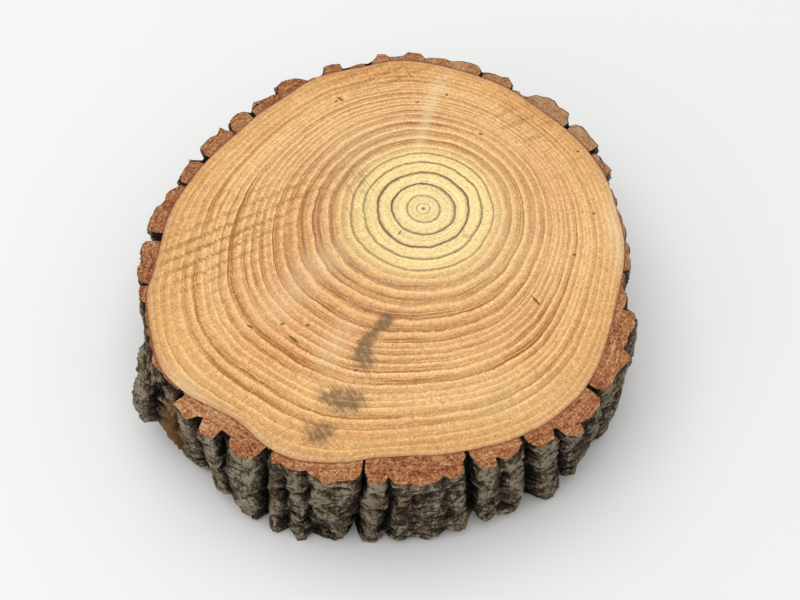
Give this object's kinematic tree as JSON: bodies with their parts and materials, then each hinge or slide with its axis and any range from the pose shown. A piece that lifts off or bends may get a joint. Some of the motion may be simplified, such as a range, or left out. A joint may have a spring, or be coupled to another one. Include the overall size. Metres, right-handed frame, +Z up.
{
  "type": "wood log slice",
  "caption": "Thick round slice sawn from a conifer trunk, with growth rings on its flat faces and rough bark on its side.",
  "frame": {"origin": "middle of the slice's outline, on the lower sawn face that it rests on", "axes": "+Z up through the thickness, along the grain; +X to the right and +Y away from a viewer who looks at the near side of the bark; the pith lies towards +X and +Y"},
  "size_m": [0.353, 0.3692, 0.0865],
  "materials": {
    "wood": "raw sawn end grain",
    "bark": "rough dry bark"
  },
  "bodies": {
    "root": {"log_slice": "wood"}
  },
  "joints": []
}
